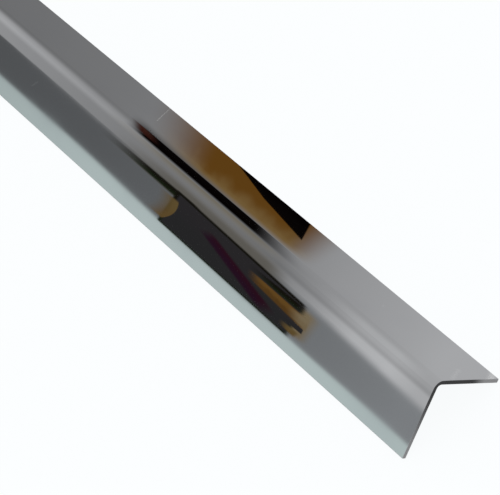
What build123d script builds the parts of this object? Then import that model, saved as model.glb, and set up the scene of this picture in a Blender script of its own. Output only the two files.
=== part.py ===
from build123d import *
import math
import os

# Ceiling corner trim: one strip of polished steel sheet, folded lengthwise to a right angle,
# that caps the outside corner where a ceiling drop or a soffit turns down.
# Sizes are in millimetres and angles in degrees.
# X runs across the trim, Y along it and Z up, with the fold's ridge on top.
# The origin is at mid length, on the plane that the long edges of the two legs rest on.

LENGTH = 2440.0
LEG_WIDTH = 30.0
SHEET_THICKNESS = 1.5
FOLD_ANGLE = 90.0
FOLD_INSIDE_RADIUS = 1.5
LONG_EDGE_ROUNDING = 0.15
CUT_END_ROUNDING = 0.1

# The sheet bends about one centre, so its outside face turns on the larger radius.
FOLD_OUTSIDE_RADIUS = FOLD_INSIDE_RADIUS + SHEET_THICKNESS

# A rounding may take at most this share of the sheet's thickness.
LARGEST_ROUNDING_SHARE = 0.45
LARGEST_ROUNDING = LARGEST_ROUNDING_SHARE * SHEET_THICKNESS


def leg_edge(side):
    """Outer corner of one leg's edge, from the sharp corner in which the outside faces would meet."""
    half_angle = math.radians(FOLD_ANGLE / 2)
    return (side * LEG_WIDTH * math.sin(half_angle), -LEG_WIDTH * math.cos(half_angle))


def is_on_leg_edge(corner):
    """Whether a corner of the section lies out at a leg's edge, and not beside the fold."""
    return abs(corner.X) > FOLD_OUTSIDE_RADIUS


def folded_section():
    """The bent sheet seen from its cut end, with the long edges of both legs rounded."""
    with BuildSketch(Plane.XZ) as section:
        with BuildLine():
            FilletPolyline(leg_edge(-1), (0, 0), leg_edge(1), radius=FOLD_OUTSIDE_RADIUS)
            offset(amount=SHEET_THICKNESS, side=Side.RIGHT)
        make_face()
        leg_edge_corners = section.vertices().filter_by(is_on_leg_edge)
        fillet(leg_edge_corners, radius=min(LONG_EDGE_ROUNDING, LARGEST_ROUNDING))
    return section.sketch


def corner_trim():
    """The whole strip: the section drawn out to its length, both cut ends deburred, resting on Z = 0."""
    strip = extrude(folded_section(), amount=LENGTH / 2, both=True)
    cut_ends = strip.faces().filter_by(Axis.Y)
    strip = fillet(cut_ends.edges(), radius=min(CUT_END_ROUNDING, LARGEST_ROUNDING))
    return Pos(0, 0, -strip.bounding_box().min.Z) * strip


os.makedirs("parts", exist_ok=True)
trim = corner_trim()
trim.label = "corner_trim"
export_step(trim, "parts/corner_trim.step")
print("volume mm3", round(trim.volume, 1), "size mm", trim.bounding_box().size)
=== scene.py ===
import bpy
import math
from collections import namedtuple
from mathutils import Matrix, Vector


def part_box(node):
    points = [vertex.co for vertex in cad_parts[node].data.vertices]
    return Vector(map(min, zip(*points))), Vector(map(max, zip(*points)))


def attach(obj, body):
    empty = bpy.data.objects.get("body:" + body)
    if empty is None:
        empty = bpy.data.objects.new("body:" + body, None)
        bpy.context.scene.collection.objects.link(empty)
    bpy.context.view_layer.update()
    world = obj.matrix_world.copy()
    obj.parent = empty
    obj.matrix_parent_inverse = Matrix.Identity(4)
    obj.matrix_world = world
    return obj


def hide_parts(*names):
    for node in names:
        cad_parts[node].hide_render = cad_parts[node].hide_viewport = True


# Looks of a ceiling corner trim: a strip of mirror-polished steel sheet with one lengthwise fold.
# Lengths are in millimetres up to the point where a mesh or the camera is made, and angles in degrees.
# X runs across the trim, Y along it and Z up, as in the frame.
# A place on a leg is given by its distance across from the sharp corner of the outside faces,
# its depth below the outside face, and its distance along from the cut end that faces the camera.

MM = 0.001
RIGHT = 1
LEFT = -1

# Section of the trim, as the solid has it, with the long edges a trace rounder to stay inside its box
LEG_WIDTH = 30.0
SHEET_THICKNESS = 1.5
FOLD_INSIDE_RADIUS = 1.5
FOLD_OUTSIDE_RADIUS = FOLD_INSIDE_RADIUS + SHEET_THICKNESS
LONG_EDGE_ROUNDING = 0.16
CUT_END_ROUNDING = 0.1

# Slant of both legs, and the share of a step across a leg that goes sideways and down
LEG_SLANT = 45.0
SLANT_SHARE = math.sqrt(0.5)

# Crown that bending leaves beside the fold: from its start the outside face turns down, up to its slope
CROWN_START = 9.0
CROWN_SLOPE = 1.5

# Long shallow waves in the outside faces: length along, length across, depth and phase in turns.
# Their slope is taken over a short step each way.
WAVES = (
    (310.0, 140.0, 0.006, 0.10),
    (173.0, -95.0, 0.003, 0.45),
    (87.0, 60.0, 0.001, 0.80),
)
WAVE_STEP = 0.05

# Steps of the mesh over each rounding, flat, crown and half of the fold, and the gap between its rings.
# A ring goes once round the section.
ROUNDING_STEPS = 4
FLAT_STEPS = 8
CROWN_STEPS = 10
FOLD_STEPS = 14
RING_SPACING = 5.0
# A quarter of a ring runs from the middle of a long edge to the middle of the fold.
QUARTER_STEPS = 1 + ROUNDING_STEPS + FLAT_STEPS + CROWN_STEPS + FOLD_STEPS
RING_STEPS = 4 * QUARTER_STEPS
Station = namedtuple("Station", "along inset turn")

# Unwrapped sheet on a square map: strips of it side by side, with the two ends beside them.
# The map's layer has this name.
MAP_NAME = "OFBake"
MAP_SIZE = 620.0
MAP_STRIPS = 4
MAP_GAP = 4.0

# Material slots of the sheet: the outside, the back, and the edges with the cut ends
POLISHED = 0
MILLED = 1
SHEARED = 2

# Sockets of a colour mix node, whose names other sockets share
MIX_FIRST_COLOUR = 6
MIX_SECOND_COLOUR = 7
MIX_RESULT_COLOUR = 2

# Polished outside: clean steel and faint smears
STEEL_COLOUR = (0.62, 0.62, 0.61, 1)
SMEARED_STEEL_COLOUR = (0.60, 0.60, 0.595, 1)
MIRROR_ROUGHNESS = 0.02
SMEAR_ROUGHNESS = 0.008
SMEAR_SCALE = 0.03
SMEAR_DETAIL = 3.0
SMEAR_SPREAD = (0.45, 0.75)

# Marks in the polish: a mark is duller, rougher and paler than the mirror
SCRATCH_COLOUR = (0.80, 0.80, 0.79, 1)
SCRATCH_ROUGHNESS = 0.30
SCRATCH_DULLNESS = 0.6
MARK_EDGE = 0.05
HAIRLINE_DETAIL = 1.0
# Hairlines: slant, width, length, share of the noise, strength
HAIRLINES = (
    (6.0, 0.16, 14.0, 0.28, 0.005),
    (-32.0, 0.12, 9.0, 0.24, 0.004),
)
# Scratches and scuffs: start, end, width, strength
SCRATCHES = (
    ((13.9, 183.5), (29.5, 196.0), 0.22, 0.45),
    ((-13.6, 242.0), (-17.0, 245.0), 0.14, 0.15),
    ((8.0, 1.0), (16.0, 6.0), 1.30, 0.12),
    ((25.0, -0.8), (31.5, 4.0), 2.20, 0.50),
    ((16.0, 46.0), (18.0, 48.0), 0.15, 0.20),
)

# Satin back from the rolling mill, grained along the trim
MILL_DARK = (0.42, 0.42, 0.415, 1)
MILL_LIGHT = (0.58, 0.58, 0.57, 1)
MILL_GRAIN = (4.0, 0.06, 1.0)
MILL_GRAIN_DETAIL = 4.0
MILL_CLOUD_DETAIL = 2.0
MILL_ROUGHNESS = 0.28
MILL_ROUGHNESS_SPREAD = 0.14
MILL_RELIEF = 0.3
MILL_DEPTH = 0.01

# Sheared edges and ends, with painted shade near the fold that fades out between two places across each leg.
# Colour of the painted shade, and where it fades out on the right leg and on the left
FOLD_SHADE_COLOUR = (0.05, 0.05, 0.05, 1)
SHEARED_COLOUR = (0.62, 0.62, 0.62, 1)
FOLD_SHADE_TO_RIGHT = (17.0, 24.0)
FOLD_SHADE_TO_LEFT = (-4.0, -30.0)
SHEARED_GLINT = (0.50, 0.50, 0.50, 1)
SHEARED_GLINT_SHARE = 0.25
SHEAR_SCALE = 2.5
SHEAR_DETAIL = 3.0
SHEAR_ROUGHNESS = 0.35
SHEAR_ROUGHNESS_SPREAD = 0.2
SHEAR_RELIEF = 0.4
SHEAR_DEPTH = 0.02

# Camera, placed from the sharp corner at the near cut end
CAMERA_OFFSET = (-169.7, -372.7, 526.9)
CAMERA_AZIMUTH = 19.18
CAMERA_ELEVATION = 46.81
CAMERA_ROLL = -23.66
CAMERA_LENS = 148.96
CAMERA_SENSOR = 36.0
CAMERA_NEAREST = 10.0
CAMERA_FARTHEST = 100000.0

# Floor and plain surroundings. Most of the floor's brightness is its own, so that shadows stay faint.
FLOOR_HALF_SIZE = 40000.0
FLOOR_COLOUR = (0.955, 0.975, 0.985, 1)
FLOOR_GLOW = 0.95
EVEN_LIGHT = (1.02, 1.02, 1.02, 1)
BACKDROP = (0.973, 0.991, 1.0, 1)

# What the steel mirrors. A mirror ray is named by its share ahead, along the trim, and by its turn
# about the trim's length: 0 is level to the right, 90 straight up and 180 level to the left.
Ray = namedtuple("Ray", "ahead up turn level rise")
# Walls, as (share ahead, level of grey)
RIGHT_WALL = (
    (0.5, 0.58), (0.562, 0.575), (0.576, 0.53), (0.613, 0.44),
    (0.635, 0.36), (0.66, 0.33), (0.716, 0.255), (0.76, 0.225),
)
LEFT_WALL = (
    (0.5, 0.6), (0.562, 0.62), (0.576, 0.72), (0.595, 0.67),
    (0.613, 0.49), (0.635, 0.31), (0.69, 0.30), (0.76, 0.44),
)
WALL_TINT = (0.985, 1.0, 1.045, 1)
# How far to the right a ray runs where the left wall starts to show, and where it shows alone
LEFT_SHARE = (1.0, -0.45)
# Streaks on the left wall, as (turn, share of its level), at the near end and further on, and the share
# ahead over which the first change to the second
NEAR_STREAKS = ((150, 0.9), (159.9, 0.84), (160.8, 0.74), (161.9, 1.0))
FAR_STREAKS = ((100, 1.2), (159.3, 1.34), (160.7, 1.0), (161.9, 1.0))
STREAK_CHANGE = (0.60, 0.72)
# Two bands low on the left wall. Each starts at a turn, leans by its own turn per share ahead, and ends
# where both do. The dark one is a share of the right wall's level.
LEAN_FROM = 0.562
DARK_BAND = (0.54, 0.57, 0.61, 1)
DARK_BAND_START = (163.07, 163.37)
DARK_BAND_LEAN = 1.6
GREEN_BAND = (0.64, 0.75, 0.76, 1)
GREEN_BAND_START = (164.26, 164.42)
GREEN_BAND_LEAN = 0.9
GREEN_FADE = ((0.5, 1.0), (0.7, 1.0), (0.76, 0.83))
BANDS_END = (176, 168)
# Softbox overhead, by how steeply a ray rises and how little it runs ahead, and the dimness underneath
SOFTBOX = (0.9, 0.92, 0.94, 1)
SOFTBOX_RISE = (0.5, 0.95)
SOFTBOX_REACH = (0.52, 0.36)
UNDERNEATH = (0.32, 0.32, 0.325, 1)
DARK_BELOW = (-0.45, -0.7)

# Flags: dark and warm cards that the steel mirrors. Each lies a little nearer than the one before it.
# Corners are near low, near high, far high and far low as the camera sees them in the steel: across and
# along on a leg, or turn and along on an arch over the fold. Across below 0 is seen in the crown alone.
# Softness is the share of the flag that fades out at its low and high sides, and its near and far ends.
# Bow is how much further along the flag lies at the middle of its width.
Flag = namedtuple("Flag", "name seen_in corners colours soft_across soft_along bow", defaults=(0.0,))
# How far off a flag lies. The fold's lie close over it, so that other views see little of them.
# The gap from one flag to the next is a share of that.
FLAG_REACH = {"right leg": 110.0, "left leg": 110.0, "fold": 14.0}
FLAG_GAP_SHARE = 0.0136
FLAG_STEPS = 32
FLAG_CLOUD_SCALE = (1.6, 9.0, 1.0)
FLAG_CLOUD_DETAIL = 2.0
FLAG_CLOUD_SHARE = 0.60
NOISE_MIDDLE = 0.5
FLAG_COLOUR_CHANGE = (0.26, 0.66)
# Each pair is the colour at the low side and at the high side.
AMBER = ((0.235, 0.148, 0.055, 1), (0.155, 0.068, 0.011, 1))
BLACK = ((0.003, 0.002, 0.002, 1), (0.002, 0.001, 0.001, 1))
RUSSET = ((0.060, 0.020, 0.014, 1), (0.050, 0.014, 0.010, 1))
SHADE = ((0.180, 0.170, 0.155, 1), (0.165, 0.156, 0.140, 1))
WARM_SHADE = ((0.215, 0.200, 0.165, 1), (0.247, 0.223, 0.180, 1))
HAZE = ((0.270, 0.210, 0.125, 1), (0.240, 0.180, 0.100, 1))
OUTLINE = ((0.010, 0.009, 0.006, 1), (0.012, 0.018, 0.008, 1))
DARK = ((0.032, 0.030, 0.033, 1), (0.029, 0.029, 0.031, 1))
TAN = ((0.165, 0.112, 0.042, 1), (0.158, 0.100, 0.036, 1))
BROWN = ((0.175, 0.090, 0.022, 1), (0.120, 0.060, 0.016, 1))
PLUM = ((0.032, 0.007, 0.017, 1), (0.027, 0.008, 0.021, 1))
FLAGS = (
    Flag("flag_warm", "right leg", ((-11.5, 63), (34, 86), (34, 214), (-11.5, 158)),
         AMBER, soft_across=(0.33, 0.01), soft_along=(0.18, 0.38)),
    Flag("flag_wedge", "right leg", ((14.6, 91), (34, 107), (34, 164), (21, 121.5)),
         BLACK, soft_across=(0.04, 0.01), soft_along=(0.02, 0.02)),
    Flag("flag_overhead", "fold", ((-24, 73), (174, 73), (160, 188), (-37, 184)),
         BLACK, soft_across=(0.12, 0.28), soft_along=(0.27, 0.12)),
    Flag("flag_fold_shade", "fold", ((136, 76), (184, 76), (184, 200), (136, 200)),
         WARM_SHADE, soft_across=(0.70, 0.30), soft_along=(0.2, 0.48)),
    Flag("flag_russet", "fold", ((-24, 163), (104, 163), (104, 184), (-27, 184)),
         RUSSET, soft_across=(0.2, 0.3), soft_along=(0.6, 0.4)),
    Flag("flag_shade", "left leg", ((2, 73), (12.5, 73), (12.5, 198), (2, 190)),
         SHADE, soft_across=(0.52, 0.01), soft_along=(0.14, 0.46)),
    Flag("flag_near_rim", "left leg", ((11.0, 53), (23.8, 57), (23.8, 70), (11.0, 68)),
         HAZE, soft_across=(0.2, 0.2), soft_along=(0.55, 0.01)),
    Flag("flag_tail", "left leg", ((9.0, 128), (12.9, 128), (12.5, 198), (9.8, 198)),
         OUTLINE, soft_across=(0.2, 0.3), soft_along=(0.1, 0.55)),
    Flag("flag_outline", "left leg", ((10.6, 62), (24.9, 65.5), (24.6, 150), (9.0, 145)),
         OUTLINE, soft_across=(0.05, 0.04), soft_along=(0.05, 0.02)),
    Flag("flag_dark", "left leg", ((11.7, 63.5), (24.2, 67), (23.9, 148), (10.1, 143)),
         DARK, soft_across=(0.03, 0.03), soft_along=(0.04, 0.02)),
    Flag("flag_rim", "left leg", ((12.6, 141.5), (23.0, 148), (23.0, 160), (12.6, 156)),
         TAN, soft_across=(0.1, 0.1), soft_along=(0.04, 0.9), bow=-3.0),
    Flag("flag_corner", "left leg", ((11.6, 62), (14.9, 62), (14.6, 98), (12.6, 98)),
         OUTLINE, soft_across=(0.2, 0.4), soft_along=(0.2, 0.5)),
    Flag("flag_lobe", "left leg", ((14.3, 60), (19.1, 60), (17.2, 97), (14.3, 97)),
         BROWN, soft_across=(0.15, 0.2), soft_along=(0.1, 0.28)),
    Flag("flag_near_haze", "left leg", ((13.6, 59.5), (18.9, 59.5), (18.0, 73), (14.8, 73)),
         HAZE, soft_across=(0.25, 0.25), soft_along=(0.1, 0.75)),
    Flag("flag_tongue", "left leg", ((18.4, 61), (20.3, 61), (20.6, 80), (18.2, 80)),
         DARK, soft_across=(0.1, 0.1), soft_along=(0.03, 0.3)),
    Flag("flag_spot", "left leg", ((20.5, 61.5), (23.6, 63.5), (22.8, 74), (20.8, 74)),
         TAN, soft_across=(0.3, 0.3), soft_along=(0.2, 0.6)),
    Flag("flag_plum", "left leg", ((20.9, 73), (25.2, 81), (15.8, 129), (12.8, 121)),
         PLUM, soft_across=(0.28, 0.28), soft_along=(0.2, 0.15)),
)

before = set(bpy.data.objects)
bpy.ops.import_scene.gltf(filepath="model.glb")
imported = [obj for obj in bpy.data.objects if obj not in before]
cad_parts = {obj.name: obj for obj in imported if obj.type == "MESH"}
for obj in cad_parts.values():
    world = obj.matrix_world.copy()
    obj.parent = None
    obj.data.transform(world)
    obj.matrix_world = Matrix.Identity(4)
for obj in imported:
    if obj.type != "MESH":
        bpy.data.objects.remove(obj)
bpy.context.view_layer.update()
trim_low, trim_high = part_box("corner_trim")
TRIM_LENGTH = (trim_high.y - trim_low.y) / MM
CORNER_HEIGHT = (LEG_WIDTH + SHEET_THICKNESS - 2 * LONG_EDGE_ROUNDING) * SLANT_SHARE + LONG_EDGE_ROUNDING
SHARP_CORNER = Vector((0.0, trim_low.y, trim_low.z)) / MM + Vector((0.0, 0.0, CORNER_HEIGHT))


class Nodes:
    """Short calls that add linked nodes to one node tree."""

    def __init__(self, tree):
        self.tree = tree

    def add(self, kind, inputs=None, **settings):
        """A new node with its inputs, by name or number, and its settings."""
        node = self.tree.nodes.new(kind)
        for name, value in settings.items():
            setattr(node, name, value)
        for name, value in (inputs or {}).items():
            self.put(node.inputs[name], value)
        return node

    def put(self, socket, value):
        """Links an output to the socket, or sets the socket to a plain value."""
        if isinstance(value, bpy.types.NodeSocket):
            self.tree.links.new(value, socket)
        else:
            socket.default_value = value

    def math(self, operation, *values, clamp=False):
        """A number worked out from the values."""
        inputs = dict(enumerate(values))
        return self.add("ShaderNodeMath", inputs, operation=operation, use_clamp=clamp).outputs[0]

    def blend_colour(self, factor, first, second, kind="MIX"):
        """All first at factor 0, and blended with second at factor 1."""
        node = self.add("ShaderNodeMix", data_type="RGBA", blend_type=kind)
        self.put(node.inputs["Factor"], factor)
        self.put(node.inputs[MIX_FIRST_COLOUR], first)
        self.put(node.inputs[MIX_SECOND_COLOUR], second)
        return node.outputs[MIX_RESULT_COLOUR]

    def noise(self, place, detail, scale=1.0):
        """A cloudy level between 0 and 1."""
        inputs = {"Vector": place, "Detail": detail, "Scale": scale}
        return self.add("ShaderNodeTexNoise", inputs).outputs["Fac"]

    def step(self, value, start, end):
        """0 before start and 1 past end, with a smooth rise between them. End may be the lower one."""
        inputs = {"Value": value, "From Min": start, "From Max": end}
        node = self.add("ShaderNodeMapRange", inputs, interpolation_type="SMOOTHSTEP")
        return node.outputs[0]

    def curve(self, value, stops, kind="LINEAR"):
        """A grey level that runs through stops of (value, level)."""
        first = stops[0][0]
        last = stops[-1][0]
        share = self.add("ShaderNodeMapRange", {"Value": value, "From Min": first, "From Max": last})
        node = self.add("ShaderNodeValToRGB", {"Fac": share.outputs[0]})
        node.color_ramp.interpolation = kind
        elements = node.color_ramp.elements
        while len(elements) < len(stops):
            elements.new(1.0)
        for element, (place, level) in zip(elements, stops):
            element.position = (place - first) / (last - first)
            element.color = (level, level, level, 1)
        return node.outputs["Color"]

    def finish(self, shader):
        """Links the shader to the material's output."""
        output = self.add("ShaderNodeOutputMaterial")
        self.put(output.inputs["Surface"], shader.outputs[0])

    def finish_blend(self, factor, first, second):
        """Links a mix of two shaders to the material's output: all first at 0 and all second at 1."""
        inputs = {0: factor, 1: first.outputs[0], 2: second.outputs[0]}
        self.finish(self.add("ShaderNodeMixShader", inputs))

    def finish_grained_steel(self, colour, roughness, grain, relief, depth):
        """Links bare steel to the material's output, with its grain standing out by depth."""
        bump = self.add("ShaderNodeBump", {"Height": grain, "Strength": relief, "Distance": depth * MM})
        inputs = {"Base Color": colour, "Metallic": 1.0, "Roughness": roughness, "Normal": bump.outputs[0]}
        self.finish(self.add("ShaderNodeBsdfPrincipled", inputs))


def new_material(name):
    """A node material and the calls that fill it."""
    material = bpy.data.materials.new(name)
    material.use_nodes = True
    material.node_tree.nodes.clear()
    return material, Nodes(material.node_tree)


def leg_point(side, across, depth):
    """A section point in X and Z from the sharp corner."""
    return Vector((side * (across - depth), -across - depth)) * SLANT_SHARE


def face_depth(side, across, along):
    """How far the outside face lies below its flat plane: the crown, and the waves between fold and edge."""
    reach = max(CROWN_START - across, 0.0)
    crown = math.radians(CROWN_SLOPE) * reach * reach / 2 / (CROWN_START - FOLD_OUTSIDE_RADIUS)
    room = (across - FOLD_OUTSIDE_RADIUS) / (LEG_WIDTH - LONG_EDGE_ROUNDING - FOLD_OUTSIDE_RADIUS)
    window = math.sin(math.pi * room) ** 2
    waves = 0.0
    for length_along, length_across, depth, phase in WAVES:
        turn = along / length_along + side * across / length_across + phase
        waves += depth * (1 + math.sin(math.tau * turn)) / 2
    return crown + window * waves


def face_normal(side, across, along):
    """The outside face's normal as its parts across, down and along, from its rise over a short step."""
    rise_across = face_depth(side, across + WAVE_STEP, along) - face_depth(side, across - WAVE_STEP, along)
    rise_along = face_depth(side, across, along + WAVE_STEP) - face_depth(side, across, along - WAVE_STEP)
    return Vector((rise_across, -2 * WAVE_STEP, rise_along)).normalized()


def long_edge(down):
    """Points from the middle of a leg's long edge round to a face: the outside for -1 and the back for 1.
    Here and below, a point is its place across, its depth, and its normal's parts across, down and along."""
    middle = SHEET_THICKNESS / 2
    points = [(LEG_WIDTH, middle, 1.0, 0.0, 0.0)]
    for i in range(ROUNDING_STEPS):
        turn = math.pi / 2 * i / ROUNDING_STEPS
        across = LEG_WIDTH - LONG_EDGE_ROUNDING * (1 - math.cos(turn))
        depth = middle + down * (middle - LONG_EDGE_ROUNDING * (1 - math.sin(turn)))
        points.append((across, depth, math.cos(turn), down * math.sin(turn), 0.0))
    return points


def outside_fold():
    """Points round one half of the fold's outside, from the crown to the ridge."""
    slope = math.radians(CROWN_SLOPE)
    drop = slope * (CROWN_START - FOLD_OUTSIDE_RADIUS) / 2
    radius = (FOLD_OUTSIDE_RADIUS - drop) / (math.cos(slope) - math.sin(slope))
    centre = FOLD_OUTSIDE_RADIUS + radius * math.sin(slope)
    points = []
    for i in range(FOLD_STEPS + 1):
        turn = slope + (math.radians(LEG_SLANT) - slope) * i / FOLD_STEPS
        normal = (-math.sin(turn), -math.cos(turn), 0.0)
        points.append((centre + radius * normal[0], centre + radius * normal[1], *normal))
    return points


def outside_half(side, along):
    """Outer line of one leg, from the middle of its long edge to the top of the fold."""
    start = LEG_WIDTH - LONG_EDGE_ROUNDING
    places = [start + (CROWN_START - start) * i / FLAT_STEPS for i in range(FLAT_STEPS)]
    crown_width = CROWN_START - FOLD_OUTSIDE_RADIUS
    places += [CROWN_START - crown_width * i / CROWN_STEPS for i in range(CROWN_STEPS)]
    face = [(across, face_depth(side, across, along), *face_normal(side, across, along)) for across in places]
    return long_edge(-1) + face + outside_fold()


def inside_half():
    """Inner line of one leg, from the middle of its long edge to the inside of the fold."""
    points = long_edge(1)
    start = LEG_WIDTH - LONG_EDGE_ROUNDING
    flat_width = start - FOLD_OUTSIDE_RADIUS
    flat_steps = FLAT_STEPS + CROWN_STEPS
    for i in range(flat_steps):
        points.append((start - flat_width * i / flat_steps, SHEET_THICKNESS, 0.0, 1.0, 0.0))
    for i in range(FOLD_STEPS + 1):
        turn = math.radians(LEG_SLANT) * i / FOLD_STEPS
        normal = (math.sin(turn), math.cos(turn), 0.0)
        across = FOLD_OUTSIDE_RADIUS - FOLD_INSIDE_RADIUS * normal[0]
        depth = FOLD_OUTSIDE_RADIUS - FOLD_INSIDE_RADIUS * normal[1]
        points.append((across, depth, *normal))
    return points


def section_ring(along):
    """The closed section: each point's place in X and Z, and its normal."""
    inside = inside_half()
    right = [(RIGHT, point) for point in outside_half(RIGHT, along)]
    left = [(LEFT, point) for point in outside_half(LEFT, along)]
    left_inside = [(LEFT, point) for point in inside]
    right_inside = [(RIGHT, point) for point in inside]
    line = right + left[-2::-1] + left_inside[1:] + right_inside[-2:0:-1]
    ring = []
    for side, (across, depth, normal_across, normal_depth, normal_along) in line:
        place = leg_point(side, across, depth)
        flat_normal = leg_point(side, normal_across, normal_depth)
        ring.append((place, Vector((flat_normal.x, normal_along, flat_normal.y))))
    return ring


def ring_stations():
    """Where the rings stand along the trim, and the inset and turn of the cut ends' rounding there."""
    rounding = []
    for i in range(ROUNDING_STEPS):
        turn = math.pi / 2 * (1 - i / ROUNDING_STEPS)
        along = CUT_END_ROUNDING * (1 - math.sin(turn))
        inset = CUT_END_ROUNDING * (1 - math.cos(turn))
        rounding.append(Station(along, inset, turn))
    body_length = TRIM_LENGTH - 2 * CUT_END_ROUNDING
    count = MAP_STRIPS * round(body_length / RING_SPACING / MAP_STRIPS)
    body = [Station(CUT_END_ROUNDING + body_length * i / count, 0.0, 0.0) for i in range(count + 1)]
    far = [Station(TRIM_LENGTH - along, inset, -turn) for along, inset, turn in reversed(rounding)]
    return rounding + body + far


def face_kind(i):
    """Material slot of the strip after ring point i: outer face, inner face or sheared edge.
    The outer line takes the first half of the ring and the inner line the second."""
    edge = ROUNDING_STEPS + 1
    half_ring = 2 * QUARTER_STEPS
    if edge <= i < half_ring - edge:
        return POLISHED
    if half_ring + edge <= i < RING_STEPS - edge:
        return MILLED
    return SHEARED


def side_faces(stations):
    """Faces between the rings: (corner points, material slot)."""
    faces = []
    for j in range(len(stations) - 1):
        near = j * RING_STEPS
        far = near + RING_STEPS
        is_rounding = stations[j].inset + stations[j + 1].inset > 0
        for i in range(RING_STEPS):
            k = (i + 1) % RING_STEPS
            corners = (near + i, far + i, far + k, near + k)
            faces.append((corners, SHEARED if is_rounding else face_kind(i)))
    return faces


def end_faces(stations):
    """Faces of both cut ends: they join the outer line to the inner line, from each long edge to the fold."""
    faces = []
    for base, is_far in ((0, False), ((len(stations) - 1) * RING_STEPS, True)):
        for edge, step in ((0, 1), (2 * QUARTER_STEPS, -1)):
            for i in range(QUARTER_STEPS):
                outer_start = base + (edge + step * i) % RING_STEPS
                outer_end = base + (edge + step * (i + 1)) % RING_STEPS
                inner_end = base + (edge - step * (i + 1)) % RING_STEPS
                inner_start = base + (edge - step * i) % RING_STEPS
                corners = [outer_start, inner_start, inner_end, outer_end]
                if i == 0:
                    corners = [outer_start, inner_end, outer_end]
                if is_far == (step < 0):
                    corners.reverse()
                faces.append((tuple(corners), SHEARED))
    return faces


def side_places(stations):
    """Map places of the faces between the rings, in strips side by side, and where the last strip ends."""
    ring = [place for place, _ in section_ring(0.0)]
    around = [0.0]
    for i in range(RING_STEPS):
        around.append(around[-1] + (ring[(i + 1) % RING_STEPS] - ring[i]).length)
    strip_width = around[-1] + MAP_GAP
    strip_length = TRIM_LENGTH / MAP_STRIPS
    rings_in_strip = (len(stations) - 1 - 2 * ROUNDING_STEPS) // MAP_STRIPS
    places = []
    for j in range(len(stations) - 1):
        strip = min(max((j - ROUNDING_STEPS) // rings_in_strip, 0), MAP_STRIPS - 1)
        near, far = (MAP_GAP + stations[n].along - strip * strip_length for n in (j, j + 1))
        for i in range(RING_STEPS):
            low, high = (MAP_GAP + strip * strip_width + around[n] for n in (i, i + 1))
            places += [(low, near), (low, far), (high, far), (high, near)]
    return places, MAP_GAP + MAP_STRIPS * strip_width


def end_places(faces, points, strips_end):
    """Map places of the cut ends: both seen from the front, one above the other beside the strips."""
    middle = strips_end + LEG_WIDTH
    places = []
    for corners, _ in faces:
        for corner in corners:
            point = points[corner]
            level = 1 if point.y < SHARP_CORNER.y + TRIM_LENGTH / 2 else 2
            places.append((middle + point.x, level * (LEG_WIDTH + MAP_GAP) + point.z - SHARP_CORNER.z))
    return places


def trim_mesh():
    """The whole strip: rings of the section from end to end, both ends closed, its map and its normals."""
    stations = ring_stations()
    points = []
    normals = []
    for along, inset, turn in stations:
        for place, normal in section_ring(along):
            flat = place - Vector((normal.x, normal.z)) * inset
            points.append(Vector((flat.x, along, flat.y)) + SHARP_CORNER)
            normals.append(normal * math.cos(turn) - Vector((0, math.sin(turn), 0)))
    ends = end_faces(stations)
    faces = side_faces(stations) + ends
    places, strips_end = side_places(stations)
    places += end_places(ends, points, strips_end)
    mesh = bpy.data.meshes.new("trim_sheet")
    mesh.from_pydata([point * MM for point in points], [], [corners for corners, _ in faces])
    mesh.polygons.foreach_set("material_index", [kind for _, kind in faces])
    mesh.polygons.foreach_set("use_smooth", [True] * len(mesh.polygons))
    layer = mesh.uv_layers.new(name=MAP_NAME)
    layer.data.foreach_set("uv", [value / MAP_SIZE for place in places for value in place])
    mesh.update()
    mesh.normals_split_custom_set_from_vertices([normal.normalized() for normal in normals])
    return mesh


def sheet_place(nodes):
    """Where a point lies on the sheet, in millimetres: a vector of across and along, and across by itself.
    Across is below 0 on the left leg."""
    place = nodes.add("ShaderNodeTexCoord").outputs["Object"]
    lifted = nodes.add("ShaderNodeVectorMath", {0: place, 1: SHARP_CORNER * MM}, operation="SUBTRACT")
    scaled = nodes.add("ShaderNodeVectorMath", {0: lifted.outputs[0], "Scale": 1 / MM}, operation="SCALE")
    sideways, along, up = nodes.add("ShaderNodeSeparateXYZ", {"Vector": scaled.outputs[0]}).outputs
    width = nodes.math("SUBTRACT", nodes.math("ABSOLUTE", sideways), up)
    across = nodes.math("MULTIPLY", width, SLANT_SHARE)
    signed = nodes.math("MULTIPLY", across, nodes.math("SIGN", sideways))
    place = nodes.add("ShaderNodeCombineXYZ", {"X": signed, "Y": along}).outputs[0]
    return place, signed


def hairlines(nodes, place, slant, width, length, share):
    """Fine marks that all run one way on the sheet: 1 on a mark and 0 beside it.
    Slant is from the trim's length, and share is how much of the noise counts as a mark."""
    turned = nodes.add("ShaderNodeMapping", {"Vector": place, "Rotation": (0, 0, math.radians(slant))})
    scale = (1 / width, 1 / length, 1)
    drawn = nodes.add("ShaderNodeMapping", {"Vector": turned.outputs[0], "Scale": scale})
    return nodes.step(nodes.noise(drawn.outputs[0], HAIRLINE_DETAIL), 1 - share - MARK_EDGE, 1 - share)


def scratch(nodes, place, start, end, width):
    """One straight scratch between two places on the sheet: 1 on its line, and 0 from its width outwards."""
    start = Vector((*start, 0))
    run = Vector((*end, 0)) - start
    offset = nodes.add("ShaderNodeVectorMath", {0: place, 1: start}, operation="SUBTRACT").outputs[0]
    dot = nodes.add("ShaderNodeVectorMath", {0: offset, 1: run / run.length_squared}, operation="DOT_PRODUCT")
    # The nearest point of the line lies between its ends, so its share is held from 0 to 1.
    share = nodes.math("MULTIPLY", dot.outputs["Value"], 1.0, clamp=True)
    nearest = nodes.add("ShaderNodeVectorMath", {0: run, "Scale": share}, operation="SCALE").outputs[0]
    gap = nodes.add("ShaderNodeVectorMath", {0: offset, 1: nearest}, operation="DISTANCE").outputs["Value"]
    return nodes.step(gap, width, 0.0)


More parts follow.
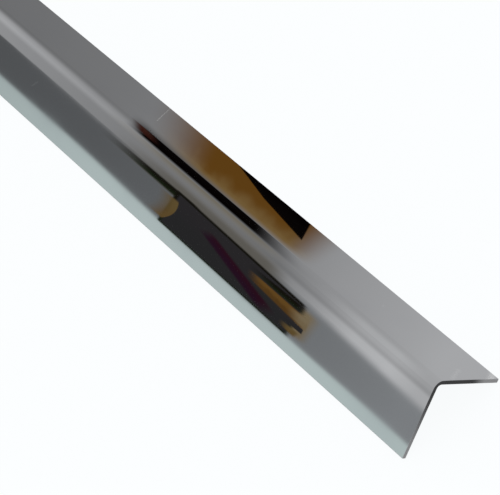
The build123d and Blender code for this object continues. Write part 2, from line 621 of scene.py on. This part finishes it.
def polished_steel():
    """Mirror polish with faint cloudy smears, fine hairlines, and some single scratches and scuffs."""
    material, nodes = new_material("polished_steel")
    place, _ = sheet_place(nodes)
    smear = nodes.step(nodes.noise(place, SMEAR_DETAIL, SMEAR_SCALE), *SMEAR_SPREAD)
    marks = 0.0
    for slant, width, length, share, strength in HAIRLINES:
        line = nodes.math("MULTIPLY", hairlines(nodes, place, slant, width, length, share), strength)
        marks = nodes.math("MAXIMUM", marks, line)
    for start, end, width, strength in SCRATCHES:
        line = nodes.math("MULTIPLY", scratch(nodes, place, start, end, width), strength)
        marks = nodes.math("MAXIMUM", marks, line)
    colour = nodes.blend_colour(smear, STEEL_COLOUR, SMEARED_STEEL_COLOUR)
    colour = nodes.blend_colour(marks, colour, SCRATCH_COLOUR)
    roughness = nodes.math("MULTIPLY_ADD", smear, SMEAR_ROUGHNESS, MIRROR_ROUGHNESS)
    roughness = nodes.math("MULTIPLY_ADD", marks, SCRATCH_ROUGHNESS, roughness)
    metallic = nodes.math("MULTIPLY_ADD", marks, -SCRATCH_DULLNESS, 1.0)
    inputs = {"Base Color": colour, "Metallic": metallic, "Roughness": roughness}
    nodes.finish(nodes.add("ShaderNodeBsdfPrincipled", inputs))
    return material


def mill_finish():
    """The back of the sheet, satin from the rolling mill, with its grain along the trim."""
    material, nodes = new_material("mill_finish")
    place, _ = sheet_place(nodes)
    drawn = nodes.add("ShaderNodeMapping", {"Vector": place, "Scale": MILL_GRAIN})
    grain = nodes.noise(drawn.outputs[0], MILL_GRAIN_DETAIL)
    cloud = nodes.noise(place, MILL_CLOUD_DETAIL, SMEAR_SCALE)
    colour = nodes.blend_colour(grain, MILL_DARK, MILL_LIGHT)
    roughness = nodes.math("MULTIPLY_ADD", cloud, MILL_ROUGHNESS_SPREAD, MILL_ROUGHNESS)
    nodes.finish_grained_steel(colour, roughness, grain, MILL_RELIEF, MILL_DEPTH)
    return material


def sheared_edge():
    """Cut ends and long edges: duller than the faces, grained, and darkened near the fold by painted shade.
    """
    material, nodes = new_material("sheared_edge")
    place, across = sheet_place(nodes)
    grain = nodes.noise(place, SHEAR_DETAIL, SHEAR_SCALE)
    # Painted shade: the cut ends go near black towards the fold, standing for its shadow.
    past_fold_shade = nodes.math("ADD", nodes.step(across, *FOLD_SHADE_TO_RIGHT), nodes.step(across, *FOLD_SHADE_TO_LEFT))
    colour = nodes.blend_colour(past_fold_shade, FOLD_SHADE_COLOUR, SHEARED_COLOUR)
    colour = nodes.blend_colour(nodes.math("MULTIPLY", grain, SHEARED_GLINT_SHARE), colour, SHEARED_GLINT)
    roughness = nodes.math("MULTIPLY_ADD", grain, SHEAR_ROUGHNESS_SPREAD, SHEAR_ROUGHNESS)
    nodes.finish_grained_steel(colour, roughness, grain, SHEAR_RELIEF, SHEAR_DEPTH)
    return material


def add_object(name, mesh, materials):
    piece = bpy.data.objects.new(name, mesh)
    for material in materials:
        mesh.materials.append(material)
    bpy.context.scene.collection.objects.link(piece)
    return piece


def add_camera():
    camera = bpy.data.cameras.new("camera")
    camera.lens = CAMERA_LENS
    camera.sensor_width = CAMERA_SENSOR
    camera.clip_start = CAMERA_NEAREST * MM
    camera.clip_end = CAMERA_FARTHEST * MM
    azimuth = math.radians(CAMERA_AZIMUTH)
    elevation = math.radians(CAMERA_ELEVATION)
    heading = Vector((math.sin(azimuth), math.cos(azimuth), 0.0))
    forward = heading * math.cos(elevation) - Vector((0.0, 0.0, math.sin(elevation)))
    level = Vector((heading.y, -heading.x, 0.0))
    roll = Matrix.Rotation(math.radians(-CAMERA_ROLL), 3, forward)
    right = roll @ level
    up = right.cross(forward)
    place = Matrix((right, up, -forward)).transposed().to_4x4()
    place.translation = (SHARP_CORNER + Vector(CAMERA_OFFSET)) * MM
    holder = bpy.data.objects.new("camera", camera)
    holder.matrix_world = place
    bpy.context.scene.collection.objects.link(holder)
    bpy.context.scene.camera = holder


def add_floor():
    """A plain pale floor, which mirror rays pass by."""
    half = FLOOR_HALF_SIZE * MM
    corners = [(-half, -half, 0), (half, -half, 0), (half, half, 0), (-half, half, 0)]
    mesh = bpy.data.meshes.new("floor")
    mesh.from_pydata(corners, [], [(0, 1, 2, 3)])
    material, nodes = new_material("floor")
    paint = nodes.add("ShaderNodeBsdfDiffuse", {"Color": FLOOR_COLOUR})
    glow = nodes.add("ShaderNodeEmission", {"Color": BACKDROP})
    nodes.finish_blend(FLOOR_GLOW, paint, glow)
    floor = add_object("floor", mesh, [material])
    floor.visible_glossy = False


def ray_parts(nodes):
    """A ray's shares ahead and up, its turn, and how far it runs right and rises as seen from the cut end."""
    direction = nodes.add("ShaderNodeTexCoord").outputs["Generated"]
    sideways, ahead, up = nodes.add("ShaderNodeSeparateXYZ", {"Vector": direction}).outputs
    turn = nodes.math("DEGREES", nodes.math("ARCTAN2", up, sideways))
    seen_length = nodes.math("SQRT", nodes.math("SUBTRACT", 1.0, nodes.math("MULTIPLY", ahead, ahead)))
    level = nodes.math("DIVIDE", sideways, seen_length)
    rise = nodes.math("DIVIDE", up, seen_length)
    return Ray(ahead, up, turn, level, rise)


def side_walls(nodes, ray, right_wall):
    """The right wall, and the left one with its streaks."""
    near_streaks = nodes.curve(ray.turn, NEAR_STREAKS, "EASE")
    far_streaks = nodes.curve(ray.turn, FAR_STREAKS, "EASE")
    streaks = nodes.blend_colour(nodes.step(ray.ahead, *STREAK_CHANGE), near_streaks, far_streaks)
    left_wall = nodes.blend_colour(1.0, nodes.curve(ray.ahead, LEFT_WALL), streaks, "MULTIPLY")
    walls = nodes.blend_colour(nodes.step(ray.level, *LEFT_SHARE), right_wall, left_wall)
    return nodes.blend_colour(1.0, walls, WALL_TINT, "MULTIPLY")


def add_band(nodes, ray, walls, colour, start, lean):
    """A band over the walls, from its leaning start to the bands' common end."""
    further = nodes.math("SUBTRACT", ray.ahead, LEAN_FROM)
    leaning_turn = nodes.math("MULTIPLY_ADD", further, lean, ray.turn)
    started = nodes.step(leaning_turn, *start)
    share = nodes.math("MULTIPLY", started, nodes.step(ray.turn, *BANDS_END))
    return nodes.blend_colour(share, walls, colour)


def studio_walls(nodes):
    """All that a mirror ray can meet: walls, bands, the softbox overhead and the dimness underneath."""
    ray = ray_parts(nodes)
    right_wall = nodes.curve(ray.ahead, RIGHT_WALL)
    walls = side_walls(nodes, ray, right_wall)
    dark = nodes.blend_colour(1.0, right_wall, DARK_BAND, "MULTIPLY")
    walls = add_band(nodes, ray, walls, dark, DARK_BAND_START, DARK_BAND_LEAN)
    green = nodes.blend_colour(1.0, GREEN_BAND, nodes.curve(ray.ahead, GREEN_FADE), "MULTIPLY")
    walls = add_band(nodes, ray, walls, green, GREEN_BAND_START, GREEN_BAND_LEAN)
    in_reach = nodes.step(nodes.math("ABSOLUTE", ray.ahead), *SOFTBOX_REACH)
    overhead = nodes.math("MULTIPLY", nodes.step(ray.rise, *SOFTBOX_RISE), in_reach)
    walls = nodes.blend_colour(overhead, walls, SOFTBOX)
    return nodes.blend_colour(nodes.step(ray.up, *DARK_BELOW), walls, UNDERNEATH)


def studio_world():
    """Camera rays see the pale backdrop, diffuse rays an even light, and mirror rays the studio's walls."""
    world = bpy.data.worlds.new("studio")
    world.use_nodes = True
    world.node_tree.nodes.clear()
    nodes = Nodes(world.node_tree)
    path = nodes.add("ShaderNodeLightPath")
    colour = nodes.blend_colour(path.outputs["Is Glossy Ray"], EVEN_LIGHT, studio_walls(nodes))
    colour = nodes.blend_colour(path.outputs["Is Camera Ray"], colour, BACKDROP)
    backdrop = nodes.add("ShaderNodeBackground", {"Color": colour})
    output = nodes.add("ShaderNodeOutputWorld")
    nodes.put(output.inputs["Surface"], backdrop.outputs[0])
    bpy.context.scene.world = world


def mirrored(side, across, along, reach):
    """Where a camera ray that meets a leg's flat plane has got to, after it has run on by reach."""
    flat = leg_point(side, across, 0.0)
    spot = Vector((flat.x, along, flat.y))
    ray = (spot - Vector(CAMERA_OFFSET)).normalized()
    return spot + ray.reflect(Vector((side, 0.0, 1.0)).normalized()) * reach


def on_right_leg(across, along, reach):
    return mirrored(RIGHT, across, along, reach)


def on_left_leg(across, along, reach):
    return mirrored(LEFT, across, along, reach)


def overhead_spot(turn, along, reach):
    """A place on an arch over the fold, met by the ray that the fold turns that way."""
    angle = math.radians(turn)
    height = math.hypot(CAMERA_OFFSET[0], CAMERA_OFFSET[2])
    carried = along + (along - CAMERA_OFFSET[1]) * reach / height
    return Vector((math.cos(angle) * reach, carried, math.sin(angle) * reach))


def flag_material(flag):
    """Turns from one colour to the other across the flag, in cloudy rays, and fades out all round."""
    material, nodes = new_material(flag.name)
    place = nodes.add("ShaderNodeTexCoord").outputs["UV"]
    across, along, _ = nodes.add("ShaderNodeSeparateXYZ", {"Vector": place}).outputs
    mask = 1.0
    for value, (low, high) in ((across, flag.soft_across), (along, flag.soft_along)):
        mask = nodes.math("MULTIPLY", mask, nodes.step(value, 0.0, low))
        mask = nodes.math("MULTIPLY", mask, nodes.step(value, 1.0, 1.0 - high))
    drawn = nodes.add("ShaderNodeMapping", {"Vector": place, "Scale": FLAG_CLOUD_SCALE})
    cloud = nodes.math("SUBTRACT", nodes.noise(drawn.outputs[0], FLAG_CLOUD_DETAIL), NOISE_MIDDLE)
    share = nodes.math("ADD", across, nodes.math("MULTIPLY", cloud, FLAG_CLOUD_SHARE))
    colour = nodes.blend_colour(nodes.step(share, *FLAG_COLOUR_CHANGE), *flag.colours)
    glow = nodes.add("ShaderNodeEmission", {"Color": colour})
    clear = nodes.add("ShaderNodeBsdfTransparent")
    nodes.finish_blend(mask, clear, glow)
    return material


def flag_mesh(flag, spot, reach):
    """A four-cornered grid, bowed along the trim at mid width, with shares across and along as its map."""
    near_low, near_high, far_high, far_low = (Vector(corner) for corner in flag.corners)
    row = FLAG_STEPS + 1
    points = []
    places = []
    for i in range(row):
        for j in range(row):
            u = i / FLAG_STEPS
            v = j / FLAG_STEPS
            across, along = near_low.lerp(near_high, u).lerp(far_low.lerp(far_high, u), v)
            along += flag.bow * 4 * u * (1 - u)
            points.append((SHARP_CORNER + spot(across, along, reach)) * MM)
            places.append((u, v))
    faces = [
        (i * row + j, i * row + j + 1, (i + 1) * row + j + 1, (i + 1) * row + j)
        for i in range(FLAG_STEPS)
        for j in range(FLAG_STEPS)
    ]
    mesh = bpy.data.meshes.new(flag.name)
    mesh.from_pydata(points, [], faces)
    layer = mesh.uv_layers.new(name="UVMap")
    for loop in mesh.loops:
        layer.data[loop.index].uv = places[loop.vertex_index]
    return mesh


def add_flag(flag, spot, reach):
    """One flag, which only mirror rays meet."""
    card = add_object(flag.name, flag_mesh(flag, spot, reach), [flag_material(flag)])
    for ray in ("camera", "diffuse", "transmission", "volume_scatter", "shadow"):
        setattr(card, "visible_" + ray, False)


def add_flags():
    """All flags, each a little nearer than the one before it."""
    spots = {"right leg": on_right_leg, "left leg": on_left_leg, "fold": overhead_spot}
    for number, flag in enumerate(FLAGS):
        add_flag(flag, spots[flag.seen_in], FLAG_REACH[flag.seen_in] * (1 - number * FLAG_GAP_SHARE))


sheet = add_object("trim_sheet", trim_mesh(), [polished_steel(), mill_finish(), sheared_edge()])
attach(sheet, "root")
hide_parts("corner_trim")
add_camera()
add_floor()
studio_world()
add_flags()
bpy.context.scene.view_settings.view_transform = "Standard"
